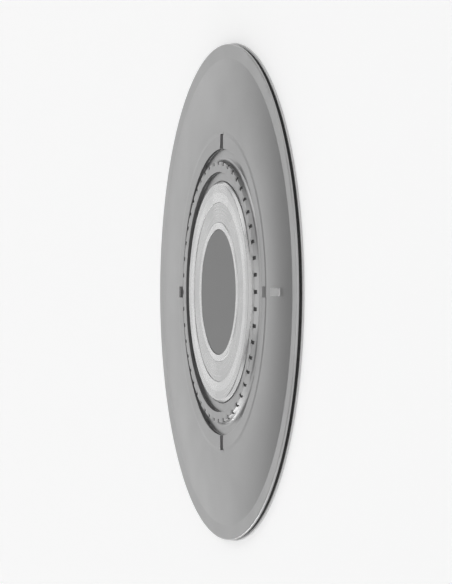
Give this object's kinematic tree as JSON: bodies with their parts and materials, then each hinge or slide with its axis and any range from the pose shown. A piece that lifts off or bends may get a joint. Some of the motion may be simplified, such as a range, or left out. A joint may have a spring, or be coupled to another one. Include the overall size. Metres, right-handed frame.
{
  "type": "adhesive phone mount plate",
  "caption": "Thin round stick-on plate for a phone's back: domed metal disc with a magnetic centre boss, a slotted index ring in a moat, and an adhesive pad underneath.",
  "frame": {"origin": "centre of the adhesive face, on the surface that the plate lies on or is stuck to", "axes": "+Z along the plate's axis out of its face, +X towards the index bar, +Y towards an index notch"},
  "size_m": [0.0622, 0.0622, 0.002],
  "materials": {
    "plate_alloy": "satin light grey, finely blasted",
    "cup_steel": "turned steel, pale satin plating",
    "magnet_plating": "pale satin plating",
    "core_steel": "turned steel, bright rim",
    "inlay_grey": "mid grey, matt",
    "adhesive_foam": "dark foam tape with a pale adhesive film at its foot"
  },
  "bodies": {
    "root": {"plate_body": "plate_alloy", "magnet_cup": "cup_steel", "ring_magnet": "magnet_plating", "pole_core": "core_steel", "centre_inlay": "inlay_grey", "adhesive_pad": "adhesive_foam"}
  },
  "joints": []
}
